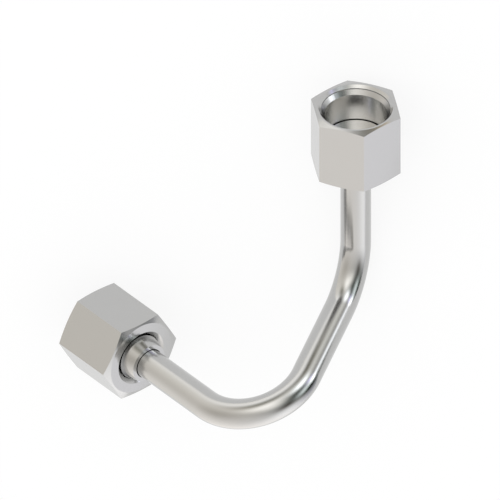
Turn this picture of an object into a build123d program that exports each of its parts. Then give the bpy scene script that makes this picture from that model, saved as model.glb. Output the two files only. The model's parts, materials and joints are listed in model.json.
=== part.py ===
from build123d import *
from math import cos, radians, sin, tan
import os

# Short rigid fuel line: one bent tube, a flat-faced sleeve brazed on each end,
# and a union nut that turns freely behind each sleeve. Lengths are in millimetres.

# Tube
tube_diameter = 6.35
tube_wall = 1.245
bend_radius = 12.7

# Route of the tube's centre line, as on the drawing of a bent tube: the short leg points
# along +Z, the long leg along +X, and each leg is measured from its corner to its sealing face.
short_leg = 35.4
long_leg = 48.1
corner_back = 20.8
corner_side = 40.6
corner_drop = 13.3

# Sleeve, from the tube outwards and from the sealing face back
braze_clearance = 0.05
end_wall = 0.975
taper_rise = 0.8
flange_overlap = 1.01
tube_stop = 2.5
flange_thickness = 3.0
taper_length = 2.9
taper_blend = 1.5
socket_edge_break = 0.1

# Union nut, from the sleeve outwards and from its mouth back
collar_clearance = 0.2
flange_clearance = 0.25
thread_depth = 0.69
relief_depth = 0.79
nut_wall = 1.35
end_face_setback = 0.425
end_chamfer_angle = 15.0
nut_sides = 6
face_depth = 8.05
mouth_depth = 0.8
mouth_cone_length = 0.93
mouth_chamfer = 0.55
shoulder_clearance = 0.05
tail_thickness = 3.9
tail_chamfer_width = 0.85
tail_chamfer_depth = 0.7
collar_setback = 0.4

# Steps used to find the lowest and the outermost points
full_turn = 360
rim_steps = 72
route_steps = 300
settling_turns = 12

# Radii, from the tube outwards
tube_radius = tube_diameter / 2
flow_radius = tube_radius - tube_wall
socket_radius = tube_radius + braze_clearance
sleeve_end_radius = socket_radius + end_wall
collar_radius = sleeve_end_radius + taper_rise
tail_hole_radius = collar_radius + collar_clearance
tail_rim_radius = tail_hole_radius + tail_chamfer_width
flange_radius = tail_hole_radius + flange_overlap
bore_radius = flange_radius + flange_clearance
mouth_radius = bore_radius + thread_depth
relief_radius = bore_radius + relief_depth
flat_radius = mouth_radius + nut_wall
end_face_radius = flat_radius - end_face_setback
half_side_angle = full_turn / nut_sides / 2
corner_radius = flat_radius / cos(radians(half_side_angle))
chamfer_slope = tan(radians(end_chamfer_angle))

# Heights along an end of the line, counted from its sealing face and positive towards the mouth
nut_mouth = face_depth
cone_top = nut_mouth - mouth_depth
cone_foot = cone_top - mouth_cone_length
thread_end = 0.0
flange_back = -flange_thickness
nut_shoulder = flange_back - shoulder_clearance
nut_tail = nut_shoulder - tail_thickness
nut_length = nut_mouth - nut_tail
tail_chamfer_foot = nut_tail + tail_chamfer_depth
collar_end = nut_tail + collar_setback
sleeve_end = collar_end - taper_length


def end_plane(face, corner, flat_direction):
    """Plane on a sealing face: Z runs out of the nut's mouth, X squarely through a flat of the nut."""
    return Plane(origin=face, x_dir=flat_direction, z_dir=face - corner)


def section_plane(end):
    """Plane through an end's axis, with X as the radius and Y as the height above the sealing face."""
    return Plane(origin=end.origin, x_dir=end.x_dir, z_dir=-end.y_dir)


def ends_of(route):
    """The planes of the two ends. Each nut has a flat square to the other leg."""
    short_face, short_corner, long_corner, long_face = route
    short_end = end_plane(short_face, short_corner, long_face - long_corner)
    long_end = end_plane(long_face, long_corner, short_face - short_corner)
    return short_end, long_end


def ring_points(end, radius, height, count, first_angle=0.0):
    """Points spaced evenly around an end's axis."""
    points = []
    for step in range(count):
        angle = radians(first_angle + full_turn * step / count)
        points.append(end.from_local_coords(Vector(radius * cos(angle), radius * sin(angle), height)))
    return points


def nut_outline(end):
    """The nut's outermost points: the ends of its side edges, and the rims of its two end faces."""
    edge_inset = (corner_radius - end_face_radius) * chamfer_slope
    points = []
    for face_height, inset in ((nut_mouth, -edge_inset), (nut_tail, edge_inset)):
        points += ring_points(end, corner_radius, face_height + inset, nut_sides, half_side_angle)
        points += ring_points(end, end_face_radius, face_height, rim_steps)
    return points


def centre_points(route):
    """Points along the middle of the tube, with its bends."""
    with BuildLine(mode=Mode.PRIVATE) as line:
        FilletPolyline(*route, radius=bend_radius)
    wire = line.wire()
    return [wire @ (step / route_steps) for step in range(route_steps + 1)]


def farthest(points, direction):
    """The point that lies farthest along a direction."""
    return max(points, key=lambda point: point.dot(direction))


def resting_plane(route):
    """The flat surface that the loose line lies on, touched by both nuts and by the tube's first bend.

    X follows the short leg in plan, Z is up, and the origin is the middle of the line's plan size.
    """
    nuts = [nut_outline(end) for end in ends_of(route)]
    middle = centre_points(route)
    short_face, short_corner, long_corner, long_face = route
    down = (short_face - short_corner).cross(long_face - short_corner).normalized()
    if down.dot(long_corner - short_corner) > 0:
        down = -down
    for _ in range(settling_turns):
        first, second = (farthest(points, down) for points in nuts)
        third = farthest(middle, down) + down * tube_radius
        normal = (second - first).cross(third - first).normalized()
        down = normal if normal.dot(down) > 0 else -normal
    up = -down
    along = short_face - short_corner
    forward = (along - up * along.dot(up)).normalized()
    left = up.cross(forward)
    origin = up * first.dot(up)
    for side in (forward, left):
        reach = []
        for direction in (side, -side):
            nut_reach = max(farthest(points, direction).dot(direction) for points in nuts)
            tube_reach = farthest(middle, direction).dot(direction) + tube_radius
            reach.append(max(nut_reach, tube_reach))
        origin = origin + side * (reach[0] - reach[1]) / 2
    return Plane(origin=origin, x_dir=forward, z_dir=up)


drawn_route = [
    Vector(0, 0, short_leg),
    Vector(0, 0, 0),
    Vector(-corner_back, corner_side, -corner_drop),
    Vector(long_leg - corner_back, corner_side, -corner_drop),
]
floor = resting_plane(drawn_route)
route = [floor.to_local_coords(point) for point in drawn_route]
short_end, long_end = ends_of(route)


def make_tube():
    """One length of tube that stops inside each sleeve."""
    start = short_end.offset(-tube_stop)
    finish = long_end.offset(-tube_stop)
    with BuildPart() as tube:
        with BuildLine() as line:
            FilletPolyline(start.origin, route[1], route[2], finish.origin, radius=bend_radius)
        with BuildSketch(start):
            Circle(tube_radius)
            Circle(flow_radius, mode=Mode.SUBTRACT)
        sweep(path=line.wire())
    return tube


def make_sleeve(end):
    """Turned sleeve: flat flange, a collar in the nut's tail hole, and a taper down to its end on the tube."""
    with BuildPart() as sleeve:
        with BuildSketch(section_plane(end)) as section:
            with BuildLine():
                Polyline(
                    (flow_radius, 0),
                    (flange_radius, 0),
                    (flange_radius, flange_back),
                    (collar_radius, flange_back),
                    (collar_radius, collar_end),
                    (sleeve_end_radius, sleeve_end),
                    (socket_radius, sleeve_end),
                    (socket_radius, -tube_stop),
                    (flow_radius, -tube_stop),
                    close=True,
                )
            make_face()
            corners = section.vertices()
            taper_start = corners.sort_by_distance((collar_radius, collar_end))[0]
            socket_edge = corners.sort_by_distance((socket_radius, sleeve_end))[0]
            fillet(taper_start, radius=taper_blend)
            chamfer(socket_edge, length=socket_edge_break)
        revolve(axis=Axis(end.origin, end.z_dir))
    return sleeve


def make_nut(end):
    """Union nut: a turned section, then the hexagon of the bar that it is turned from.

    The bore has the size of the thread's crests. The thread ends level with the sealing face,
    where the wider relief begins that runs down to the shoulder.
    """
    blank_radius = corner_radius + mouth_chamfer
    chamfer_height = (blank_radius - end_face_radius) * chamfer_slope
    with BuildPart() as nut:
        with BuildSketch(section_plane(end)) as section:
            with BuildLine():
                Polyline(
                    (tail_hole_radius, tail_chamfer_foot),
                    (tail_rim_radius, nut_tail),
                    (end_face_radius, nut_tail),
                    (blank_radius, nut_tail + chamfer_height),
                    (blank_radius, nut_mouth - chamfer_height),
                    (end_face_radius, nut_mouth),
                    (mouth_radius, nut_mouth),
                    (mouth_radius, cone_top),
                    (bore_radius, cone_foot),
                    (bore_radius, thread_end),
                    (relief_radius, thread_end),
                    (relief_radius, nut_shoulder),
                    (tail_hole_radius, nut_shoulder),
                    close=True,
                )
            make_face()
            mouth_rim = section.vertices().sort_by_distance((mouth_radius, nut_mouth))[0]
            chamfer(mouth_rim, length=mouth_chamfer)
        revolve(axis=Axis(end.origin, end.z_dir))
        with BuildSketch(end.offset(nut_tail)):
            RegularPolygon(flat_radius, nut_sides, major_radius=False, rotation=half_side_angle)
        extrude(amount=nut_length, mode=Mode.INTERSECT)
    return nut


os.makedirs("parts", exist_ok=True)

tube = make_tube()
tube.part.label = "tube"
export_step(tube.part, "parts/tube.step")

for side, end in (("short_leg", short_end), ("long_leg", long_end)):
    sleeve = make_sleeve(end)
    sleeve.part.label = f"{side}_sleeve"
    export_step(sleeve.part, f"parts/{side}_sleeve.step")
    nut = make_nut(end)
    nut.part.label = f"{side}_nut"
    export_step(nut.part, f"parts/{side}_nut.step")
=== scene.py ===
import bpy
import json
import math
import numpy as np
from mathutils import Matrix, Vector


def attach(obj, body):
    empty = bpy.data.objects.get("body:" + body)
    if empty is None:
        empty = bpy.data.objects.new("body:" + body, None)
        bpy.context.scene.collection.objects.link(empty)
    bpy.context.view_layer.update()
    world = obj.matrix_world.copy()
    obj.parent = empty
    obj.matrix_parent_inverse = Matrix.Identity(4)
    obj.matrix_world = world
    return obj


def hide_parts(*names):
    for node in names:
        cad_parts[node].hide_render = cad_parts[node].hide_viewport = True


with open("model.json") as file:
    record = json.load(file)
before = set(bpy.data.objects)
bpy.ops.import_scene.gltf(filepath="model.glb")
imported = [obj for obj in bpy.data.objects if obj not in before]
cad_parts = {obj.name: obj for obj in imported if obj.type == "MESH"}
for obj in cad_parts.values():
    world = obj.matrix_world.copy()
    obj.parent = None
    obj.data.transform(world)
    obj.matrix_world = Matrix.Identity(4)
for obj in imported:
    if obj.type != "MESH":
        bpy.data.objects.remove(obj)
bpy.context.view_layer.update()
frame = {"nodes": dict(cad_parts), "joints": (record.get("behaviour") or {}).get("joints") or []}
mm = 0.001
print("frame loaded:", ", ".join(sorted(frame["nodes"])))

# Each end of the line: where its sealing face is, and which way the nut's mouth points.
ends = {turn["child"]: (Vector(turn["pos_m"]), Vector(turn["axis"]).normalized()) for turn in frame["joints"]}
shortFace, shortAxis = ends["short_nut"]
longFace, longAxis = ends["long_nut"]

# The camera looks down on the line from the photo's side, rolled so that the short leg's nut is up and to
# the right.
cameraSettings = {
    "towardCamera": (0.37348, -0.16183, 0.91341),   # from the line to the camera
    "pictureUp": (0.92607, 0.12226, -0.35699),      # the picture's upward direction
    "millimetresPerPixel": 0.20579,
    "imagePixels": 500,
    "originPixel": (242.649, 220.820),              # where the part's origin falls in the picture
    "distance": 0.4,                                # m in front of the origin
    "nearest": 0.01,                                # m from the camera, where its view begins
    "farthest": 5.0,                                # m from the camera, where it ends
}


def makeCamera(s):
    toward = Vector(s["towardCamera"]).normalized()
    up = Vector(s["pictureUp"])
    up = (up - toward * up.dot(toward)).normalized()
    right = up.cross(toward)
    metresPerPixel = s["millimetresPerPixel"] * mm
    middle = s["imagePixels"] / 2
    across = (middle - s["originPixel"][0]) * metresPerPixel
    above = (s["originPixel"][1] - middle) * metresPerPixel
    data = bpy.data.cameras.new("camera")
    data.type = "ORTHO"
    data.ortho_scale = s["imagePixels"] * metresPerPixel
    data.clip_start = s["nearest"]
    data.clip_end = s["farthest"]
    camera = bpy.data.objects.new("camera", data)
    bpy.context.scene.collection.objects.link(camera)
    turn = Matrix((right, up, toward)).transposed()         # its columns are the camera's own axes
    place = right * across + up * above + toward * s["distance"]
    camera.matrix_world = Matrix.Translation(place) @ turn.to_4x4()
    bpy.context.scene.camera = camera


makeCamera(cameraSettings)
bpy.context.scene.view_settings.view_transform = "Standard"
print("camera placed")


# A socket of a node tree, so that shader sums read as plain Python. One with no socket only makes nodes.
class Wire:
    def __init__(self, tree, socket=None):
        self.tree = tree
        self.socket = socket

    # Any node: its type, its settings, then what feeds its inputs, in order and then by name.
    def make(self, kind, *feeds, settings=None, output=0, **named):
        node = self.tree.nodes.new(kind)
        for name, value in (settings or {}).items():
            setattr(node, name, value)
        inputs = list(enumerate(feeds)) + [(name.replace("_", " "), value) for name, value in named.items()]
        for key, value in inputs:
            if isinstance(value, Wire):
                self.tree.links.new(value.socket, node.inputs[key])
            elif value is not None:
                node.inputs[key].default_value = value
        return Wire(self.tree, node.outputs[output] if len(node.outputs) else None)

    def maths(self, operation, *others, clamp=False):
        settings = {"operation": operation, "use_clamp": clamp}
        return self.make("ShaderNodeMath", self, *others, settings=settings)

    def vector(self, operation, *others, output=0):
        settings = {"operation": operation}
        return self.make("ShaderNodeVectorMath", self, *others, settings=settings, output=output)

    # This vector's reach along a fixed direction.
    def dot(self, direction):
        return self.vector("DOT_PRODUCT", tuple(direction), output=1)

    # This vector, multiplied by a number.
    def scaled(self, amount):
        return self.make("ShaderNodeVectorMath", self, settings={"operation": "SCALE"}, Scale=amount)

    # A fixed direction or colour, multiplied by this number.
    def times(self, fixed):
        return self.make("ShaderNodeVectorMath", tuple(fixed), settings={"operation": "SCALE"}, Scale=self)

    def __add__(self, other):
        return self.maths("ADD", other)

    def __radd__(self, other):
        return self.maths("ADD", other)

    def __sub__(self, other):
        return self.maths("SUBTRACT", other)

    def __rsub__(self, other):
        return self.make("ShaderNodeMath", other, self, settings={"operation": "SUBTRACT"})

    def __mul__(self, other):
        return self.maths("MULTIPLY", other)

    def __rmul__(self, other):
        return self.maths("MULTIPLY", other)

    def __truediv__(self, other):
        return self.maths("DIVIDE", other)

    def __rtruediv__(self, other):
        return self.make("ShaderNodeMath", other, self, settings={"operation": "DIVIDE"})


# An empty material, and a wire that makes its nodes.
def makeMaterial(name):
    material = bpy.data.materials.new(name)
    material.use_nodes = True
    material.node_tree.nodes.clear()
    return material, Wire(material.node_tree)


# What the steel mirrors past the floor: a pale backdrop that gets brighter along one direction, with soft
# lamps and dark flags. Each spot: degrees round from +X, degrees above the horizon, softness in degrees,
# and the strength of each colour. The numbers come from fits to the photo's tones on the steel.
roomSettings = {
    "backdrop": (0.602, 0.617, 0.605),
    "slope": (                  # how much of each colour it gains towards +X, +Y and +Z
        (0.467, 0.218, 0.358),
        (0.435, 0.188, 0.326),
        (0.384, 0.155, 0.294),
    ),
    "spots": {
        "keyLamp": (327.1, 19.8, 9.1, (2.512, 2.636, 2.730)),
        "lowLamp": (291.7, -3.8, 6.3, (3.916, 4.022, 4.240)),
        "highLamp": (357.6, 49.9, 14.5, (1.350, 1.329, 1.303)),
        "sidePanel": (281.8, 12.8, 10.9, (2.516, 2.660, 2.735)),
        "darkDoor": (279.5, 7.3, 16.1, (-2.123, -2.171, -2.249)),
        "darkDoorTop": (255.1, 38.3, 10.5, (-0.462, -0.482, -0.487)),
        "darkFrame": (318.5, 46.5, 24.8, (-1.134, -1.104, -1.063)),
        "smallFlag": (14.7, 20.9, 12.5, (-1.302, -1.281, -1.284)),
        "strip": (302.9, 7.1, 4.4, (1.170, 1.086, 1.721)),
        "paleWall": (11.3, 4.6, 15.1, (1.018, 1.032, 1.090)),
        "floorDark": (353.6, -52.4, 12.9, (-0.328, -0.271, -0.078)),
        "frontSheet": (174.1, -21.5, 48.0, (1.437, 1.333, 1.240)),
        "frontSheetEdge": (230.8, -5.1, 26.3, (0.852, 0.844, 0.863)),
        "sideWall": (83.2, 44.4, 24.5, (-0.477, -0.468, -0.462)),
        "lowerFlag": (358.5, 1.1, 10.0, (-0.936, -0.955, -1.000)),
        "floorSide": (244.7, -18.3, 13.0, (-0.608, -0.616, -0.574)),
        "upperPanel": (314.7, 58.5, 12.3, (0.978, 0.963, 0.921)),
        "lowSheet": (338.8, -37.6, 16.6, (0.752, 0.428, 0.009)),
        "darkTable": (355.8, -11.3, 11.5, (-0.711, -0.653, -0.570)),
        "dimFloor": (119.3, -33.3, 11.5, (-0.664, -0.600, -0.645)),
    },
}


# Light from direction d: backdrop + slope . d, and for each spot
# strength * exp((cos of the angle to it - 1) / softness squared). Mirrored rays meet it past the floor.
# Everything else meets plain white at a strength of 1.
def makeRoom(s):
    world = bpy.data.worlds.new("room")
    bpy.context.scene.world = world
    world.use_nodes = True
    world.node_tree.nodes.clear()
    sheet = Wire(world.node_tree)
    direction = sheet.make("ShaderNodeTexCoord", output="Generated")
    gain = sheet.make("ShaderNodeCombineXYZ", *(direction.dot(slope) for slope in s["slope"]))
    light = gain.vector("ADD", s["backdrop"])
    for around, up, softness, strength in s["spots"].values():
        around, up = math.radians(around), math.radians(up)
        towards = (math.cos(around) * math.cos(up), math.sin(around) * math.cos(up), math.sin(up))
        nearness = direction.dot(towards)
        glow = ((nearness - 1.0) / math.radians(softness) ** 2).maths("EXPONENT")
        light = light.vector("ADD", glow.times(strength))
    light = light.vector("MAXIMUM", (0, 0, 0))
    mirrored = sheet.make("ShaderNodeLightPath", output="Is Glossy Ray")
    white = sheet.make("ShaderNodeBackground", (1, 1, 1, 1), 1.0)
    room = sheet.make("ShaderNodeBackground", light, 1.0)
    sheet.make("ShaderNodeOutputWorld", sheet.make("ShaderNodeMixShader", mirrored, white, room))


makeRoom(roomSettings)
print("room lit")

floorSettings = {
    "radius": 80.0,         # mm
    "below": 0.05,          # mm under the lowest point, so that nothing shares its surface
    "sides": 96,            # straight edges round the disc
    "reflects": 0.2,        # its grey, which carries the shadow
    "glows": 0.805,         # the rest of its white
}


# A disc that reaches about to the picture's corners: x = radius * cos(angle), y = radius * sin(angle). It
# is white with a soft shadow. Camera, mirrored and transmitted rays meet it, and the others pass it.
def makeFloor(s):
    angle = np.linspace(0, 2 * np.pi, s["sides"], endpoint=False)
    radius = s["radius"] * mm
    height = np.full_like(angle, -s["below"] * mm)
    corners = np.stack([radius * np.cos(angle), radius * np.sin(angle), height], 1)
    mesh = bpy.data.meshes.new("floor")
    mesh.from_pydata(corners.tolist(), [], [list(range(s["sides"]))])
    floor = bpy.data.objects.new("floor", mesh)
    bpy.context.scene.collection.objects.link(floor)
    material, sheet = makeMaterial("floorPaper")
    seen = sheet.make("ShaderNodeLightPath", output="Is Camera Ray")
    through = sheet.make("ShaderNodeLightPath", output="Is Transmission Ray")
    mirrored = sheet.make("ShaderNodeLightPath", output="Is Glossy Ray")
    shown = seen.maths("MAXIMUM", through).maths("MAXIMUM", mirrored)
    grey = (s["reflects"], s["reflects"], s["reflects"], 1)
    glow = (s["glows"], s["glows"], s["glows"], 1)
    shaded = sheet.make("ShaderNodeBsdfDiffuse", grey)
    paper = sheet.make("ShaderNodeAddShader", shaded, sheet.make("ShaderNodeEmission", glow))
    clear = sheet.make("ShaderNodeBsdfTransparent")
    sheet.make("ShaderNodeOutputMaterial", sheet.make("ShaderNodeMixShader", shown, clear, paper))
    mesh.materials.append(material)


makeFloor(floorSettings)
print("floor laid")

# The bare steel: its colour, its satin, and how much each mark on it shows.
steelSettings = {
    "colour": (0.472, 0.470, 0.464),
    "roughness": 0.17,
    "cloudSize": 3.5,           # mm across a faint cloud in the finish
    "cloudColour": 0.012,       # share of the colour that clouds take or give
    "cloudRoughness": 0.02,     # roughness that they take or give
    "cloudDetail": 2.0,         # octaves of the clouds' noise
    "lineDetail": 3.0,          # octaves of the lines' noise
    "lineColour": 0.010,        # share of the colour that the lines take or give
    "lineRoughness": 0.035,     # roughness that they take or give
    "lineHeight": 0.0006,       # mm that the finishing lines stand up
    "ringsDownWall": 0.8,       # how closely the rings follow each other down a wall, against across a face
    "jointDarkAndShade": 0.92,          # share of the colour that the brazed joint and its painted shade lose
    "jointRoughness": 0.3,      # roughness that it gains
    "soft": 0.02,               # mm over which one finish gives way to the next
}


# 0 below the edge and 1 above it, as (value - edge) / width kept between 0 and 1.
def above(value, edge, width):
    return ((value - edge) / width).maths("MULTIPLY", 1.0, clamp=True)


# Lines: a noise that stays nearly the same along one direction and changes fast across it. Clouds: a slow
# noise of the place. Both move the colour and the roughness a little, and the lines the height too.
# rougher is added to the roughness. Painted light is added to the colour as a share of it, and the joint
# mask is 1 where the braze's dark line and painted shade in the crevice beside it are.
def finishSteel(material, sheet, place, lines, s, rougher=None, paintedLight=None, jointAndShade=None):
    scale, detail = 1 / s["cloudSize"], s["cloudDetail"]
    cloud = sheet.make("ShaderNodeTexNoise", Vector=place, Scale=scale, Detail=detail) - 0.5
    grain = lines - 0.5
    shade = 1 + cloud * (2 * s["cloudColour"]) + grain * (2 * s["lineColour"])
    roughness = s["roughness"] + cloud * (2 * s["cloudRoughness"]) + grain * (2 * s["lineRoughness"])
    if rougher is not None:
        roughness = roughness + rougher
    # Painted light: the colour is raised where the caller asks, on faces deep inside the nut.
    if paintedLight is not None:
        shade = shade * (1 + paintedLight)
    # Darker colour for the brazed joint: its own dark line, with painted shade in the crevice beside it.
    if jointAndShade is not None:
        shade = shade * (1 - jointAndShade * s["jointDarkAndShade"])
        roughness = roughness + jointAndShade * s["jointRoughness"]
    colour = shade.times(s["colour"])
    bump = sheet.make("ShaderNodeBump", Strength=1.0, Distance=s["lineHeight"] * mm, Height=lines)
    steel = sheet.make(
        "ShaderNodeBsdfPrincipled",
        Base_Color=colour,
        Metallic=1.0,
        Roughness=roughness,
        Normal=bump,
    )
    sheet.make("ShaderNodeOutputMaterial", steel)
    return material


# Millimetres along and away from an end's axis: height = (p - face) . axis,
# away = (p - face) - height * axis, and radius is the length of away.
def endPlace(sheet, face, axis):
    place = sheet.make("ShaderNodeTexCoord", output="Object")
    offset = place.vector("SUBTRACT", tuple(face)).scaled(1 / mm)
    height = offset.dot(axis)
    along = height.times(axis)
    away = offset.vector("SUBTRACT", along)
    return offset, height, along, away, away.vector("LENGTH", output=1)


# Tool marks: noise of (distance from the axis + ringsDownWall * height) * density, which runs in rings on
# every turned face.
def turnedLines(sheet, height, radius, density):
    ring = (radius + height * steelSettings["ringsDownWall"]) * density
    detail = steelSettings["lineDetail"]
    settings = {"noise_dimensions": "1D"}
    return sheet.make("ShaderNodeTexNoise", settings=settings, W=ring, Scale=1.0, Detail=detail)


# Heights, here and for the nuts, are mm from the sealing face and grow towards the nut's mouth.
sleeveSettings = {
    "turnedLines": 8.0,         # tool marks to a millimetre
    "socketRadius": 3.34,       # mm, with the broken edge of the socket
    "socketBottom": -2.6,       # height of the socket's bottom
    "faceDepth": -0.1,          # height above which the sealing face lies
    "facePaintedLight": 0.4,        # share of the colour that the sealing face gains, as painted light
}


# The socket's edge is dark, a braze line with painted shade in the gap: there the radius is small, and the
# height less than the socket bottom's.
def makeTurnedSteel(name, face, axis, s):
    material, sheet = makeMaterial(name)
    offset, height, _, _, radius = endPlace(sheet, face, axis)
    lines = turnedLines(sheet, height, radius, s["turnedLines"])
    soft = steelSettings["soft"]
    jointAndShade = (1 - above(radius, s["socketRadius"] - soft, soft)) * (1 - above(height, s["socketBottom"], soft))
    # Painted light: the sealing face, seen deep inside the nut, is lightened.
    paintedLight = above(height, s["faceDepth"], soft) * s["facePaintedLight"]
    return finishSteel(material, sheet, offset, lines, steelSettings, paintedLight=paintedLight, jointAndShade=jointAndShade)


nutSettings = {
    "flatRadius": 8.5,          # mm from the axis to a flat
    "flatTurns": (0, 60, 120),  # degrees round to one flat of each opposite pair
    "flatEdge": 0.04,           # mm below the flats where the turned faces begin
    "linesAcross": 7.0,         # drawing lines to a millimetre across a flat
    "linesAlong": 0.12,         # how fast they change along the bar, to a millimetre
    "turnedLines": 6.0,         # tool marks to a millimetre on the turned faces
    "cornerWidth": 0.35,        # mm beside a corner that handling has polished
    "cornerPolish": 0.05,       # roughness that the corner loses
    "insideRadius": 7.2,        # mm from the axis, within which the bore and its mouth lie
    "shoulder": -3.05,          # height of the bore's bottom
    "insideRoughness": 0.08,    # roughness that the bore and its mouth gain
    "boreTop": 6.32,            # height where the bore gives way to the mouth's cone
    "borePaintedLight": 0.4,        # share of the colour that the bore gains, as painted light
}


# A flat's distance is |(p - face) . its own direction|. The largest of the three says which flat a point is
# on, and near a corner the second largest comes close to it.
def makeNutSteel(name, face, axis, squareTo, s):
    material, sheet = makeMaterial(name)
    offset, height, along, away, radius = endPlace(sheet, face, axis)
    flats = []
    for turn in s["flatTurns"]:
        direction = Matrix.Rotation(math.radians(turn), 3, axis) @ squareTo
        flats.append(away.dot(direction).maths("ABSOLUTE"))
    largest = flats[0].maths("MAXIMUM", flats[1]).maths("MAXIMUM", flats[2])
    smallest = flats[0].maths("MINIMUM", flats[1]).maths("MINIMUM", flats[2])
    second = flats[0] + flats[1] + flats[2] - largest - smallest
    soft = steelSettings["soft"]
    onFlat = above(largest, s["flatRadius"] - s["flatEdge"], soft)
    corner = 1 - above(largest - second, 0.0, s["cornerWidth"])
    inside = (1 - above(radius, s["insideRadius"], soft)) * above(height, s["shoulder"], soft)
    stretched = away.scaled(s["linesAcross"]).vector("ADD", along.scaled(s["linesAlong"]))
    detail = steelSettings["lineDetail"]
    drawn = sheet.make("ShaderNodeTexNoise", Vector=stretched, Scale=1.0, Detail=detail)
    turned = turnedLines(sheet, height, radius, s["turnedLines"])
    lines = turned + (drawn - turned) * onFlat
    rougher = inside * s["insideRoughness"] - corner * onFlat * s["cornerPolish"]
    # Painted light: the bore, deep inside the nut, is lightened up to the mouth's cone.
    paintedLight = inside * (1 - above(height, s["boreTop"], soft)) * s["borePaintedLight"]
    return finishSteel(material, sheet, offset, lines, steelSettings, rougher=rougher, paintedLight=paintedLight)


tubeSettings = {
    "radius": 3.175,            # mm, of the outside
    "bore": 1.93,               # mm, its radius
    "shortLeg": 35.4,           # mm from the short leg's sealing face to its corner of the route
    "longLeg": 48.1,            # mm from the long leg's sealing face to its corner
    "stop": 2.5,                # mm behind the sealing face where the tube ends
    "bendRadius": 12.7,         # mm, of the middle of the tube
    "around": 128,              # points round the tube
    "bendSteps": 56,            # rings of points along each bend
    "straightSteps": 10,        # rings of points along each straight run
    "linesAround": 14.0,        # drawing lines across half the tube's width, about
    "linesAlong": 0.05,         # how fast they change along it, to a millimetre
    "sharpAngle": 40.0,         # degrees between faces past which an edge stays sharp
    "sleeveEnd": 6.95,          # mm from the tube's end to the sleeve's end, where the braze is
    "jointWidth": 0.1,          # mm of dark joint and painted shade beside the sleeve
}


# The tube's own map: u is the share of the way round, v the millimetres to the nearer end. Its lines are
# a noise of (cos, sin) of the angle round, and hardly of v, so they run lengthwise and meet at the seam.
def makeDrawnSteel(name, s):
    material, sheet = makeMaterial(name)
    place = sheet.make("ShaderNodeTexCoord", output="Object").scaled(1 / mm)
    chart = sheet.make("ShaderNodeUVMap", settings={"uv_map": "around"})
    u = sheet.make("ShaderNodeSeparateXYZ", chart, output=0)
    v = sheet.make("ShaderNodeSeparateXYZ", chart, output=1)
    angle = u * (2 * math.pi)
    spot = sheet.make(
        "ShaderNodeCombineXYZ",
        angle.maths("COSINE") * s["linesAround"],
        angle.maths("SINE") * s["linesAround"],
        v * s["linesAlong"],
    )
    detail = steelSettings["lineDetail"]
    lines = sheet.make("ShaderNodeTexNoise", Vector=spot, Scale=1.0, Detail=detail)
    soft = steelSettings["soft"]
    # Beside the sleeve's end the colour darkens: the braze's dark line, with painted shade where the tube
    # meets the sleeve.
    past = above(v, s["sleeveEnd"] - s["jointWidth"], soft)
    jointAndShade = past * (1 - above(v, s["sleeveEnd"] + s["jointWidth"], soft))
    return finishSteel(material, sheet, place, lines, steelSettings, jointAndShade=jointAndShade)


# A direction turned by the angle f about a hinge:
# side * cos(f) + (hinge x side) * sin(f) + hinge * (hinge . side) * (1 - cos(f)).
def turnAbout(hinge, side, f):
    swung = side * np.cos(f) + np.cross(hinge, side) * np.sin(f)
    return swung + hinge * (hinge @ side) * (1 - np.cos(f))


# Middle of the tube: straight runs p = a + (b - a) * t, joined by arcs
# p = centre + bend * (inward * sin(f) - toCentre * cos(f)). The side direction turns with each arc about
# the arc's own hinge, so the tube never twists.
def tubeMiddle(s):
    start = np.array(shortFace - shortAxis * s["stop"] * mm)
    corners = [
        np.array(shortFace - shortAxis * s["shortLeg"] * mm),
        np.array(longFace - longAxis * s["longLeg"] * mm),
    ]
    finish = np.array(longFace - longAxis * s["stop"] * mm)
    bend = s["bendRadius"] * mm
    points, sides, tangents = [], [], []
    here, side = start, np.array(longAxis)
    for corner, onward in zip(corners, (corners[1], finish)):
        inward = (corner - here) / np.linalg.norm(corner - here)
        outward = (onward - corner) / np.linalg.norm(onward - corner)
        turn = math.acos(float(inward @ outward))
        reach = bend * math.tan(turn / 2)
        arcStart = corner - inward * reach
        hinge = np.cross(inward, outward) / math.sin(turn)
        toCentre = np.cross(hinge, inward)
        centre = arcStart + toCentre * bend
        side = side - inward * (side @ inward)
        side = side / np.linalg.norm(side)
        t = np.linspace(0, 1, s["straightSteps"], endpoint=False)[:, None]
        points.append(here + (arcStart - here) * t)
        sides.append(np.repeat(side[None], len(t), 0))
        tangents.append(np.repeat(inward[None], len(t), 0))
        f = np.linspace(0, turn, s["bendSteps"], endpoint=False)[:, None]
        points.append(centre - toCentre * bend * np.cos(f) + inward * bend * np.sin(f))
        tangents.append(inward * np.cos(f) + toCentre * np.sin(f))
        sides.append(turnAbout(hinge, side, f))
        side = turnAbout(hinge, side, turn)
        here = corner + outward * reach
    t = np.linspace(0, 1, s["straightSteps"])[:, None]
    points.append(here + (finish - here) * t)
    sides.append(np.repeat(side[None], len(t), 0))
    tangents.append(np.repeat(outward[None], len(t), 0))
    return np.concatenate(points), np.concatenate(sides), np.concatenate(tangents)


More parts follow.
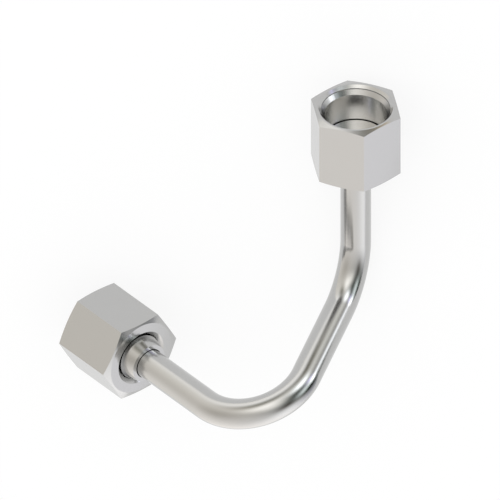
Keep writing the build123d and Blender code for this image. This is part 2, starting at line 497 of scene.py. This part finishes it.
# Wall: p = middle + radius * (side * cos(angle) + across * sin(angle)), out along the outside and back along
# the bore, closed both ways, so that the rows between the two walls are the tube's cut ends.
def makeTube(s):
    middle, side, tangent = tubeMiddle(s)
    across = np.cross(tangent, side)
    angle = np.linspace(0, 2 * np.pi, s["around"], endpoint=False)
    ring = side[:, None] * np.cos(angle)[None, :, None] + across[:, None] * np.sin(angle)[None, :, None]
    outside = middle[:, None] + ring * s["radius"] * mm
    inside = middle[:, None] + ring * s["bore"] * mm
    grid = np.concatenate([outside, inside[::-1]])
    rows, columns = grid.shape[:2]
    row = np.arange(rows)[:, None]
    column = np.arange(columns)[None, :]
    nextRow = (row + 1) % rows
    nextColumn = (column + 1) % columns
    near, far = row * columns, nextRow * columns
    quads = np.stack([near + column, near + nextColumn, far + nextColumn, far + column], axis=-1)
    faces = quads.reshape(-1, 4)
    mesh = bpy.data.meshes.new("steelTube")
    mesh.from_pydata(grid.reshape(-1, 3).tolist(), [], faces.tolist())
    travelled = np.concatenate([[0], np.cumsum(np.linalg.norm(np.diff(middle, axis=0), axis=1))]) / mm
    toEnd = np.minimum(travelled, travelled[-1] - travelled)
    alongRows = np.concatenate([toEnd, toEnd[::-1], toEnd[:1]])
    u = np.stack([column, column + 1, column + 1, column], -1) / columns + np.zeros((rows, 1, 1))
    v = np.stack([alongRows[:-1], alongRows[:-1], alongRows[1:], alongRows[1:]], -1)[:, None]
    v = v + np.zeros((1, columns, 1))
    layer = mesh.uv_layers.new(name="around")
    layer.data.foreach_set("uv", np.stack([u, v], -1).reshape(-1).astype(np.float32))
    mesh.polygons.foreach_set("use_smooth", np.ones(len(faces), bool))
    mesh.update()
    mesh.set_sharp_from_angle(angle=math.radians(s["sharpAngle"]))
    tube = bpy.data.objects.new("steelTube", mesh)
    bpy.context.scene.collection.objects.link(tube)
    mesh.materials.append(makeDrawnSteel("drawnSteel", s))
    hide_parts("tube")
    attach(tube, "line")


# A CAD node keeps its shape, and gets the material in each of its slots.
def coat(node, material):
    for slot in frame["nodes"][node].material_slots:
        slot.material = material


coat("short_leg_nut", makeNutSteel("shortNutSteel", shortFace, shortAxis, longAxis, nutSettings))
coat("long_leg_nut", makeNutSteel("longNutSteel", longFace, longAxis, shortAxis, nutSettings))
print("nuts finished")
coat("short_leg_sleeve", makeTurnedSteel("shortSleeveSteel", shortFace, shortAxis, sleeveSettings))
coat("long_leg_sleeve", makeTurnedSteel("longSleeveSteel", longFace, longAxis, sleeveSettings))
print("sleeves finished")
makeTube(tubeSettings)
print("tube bent")
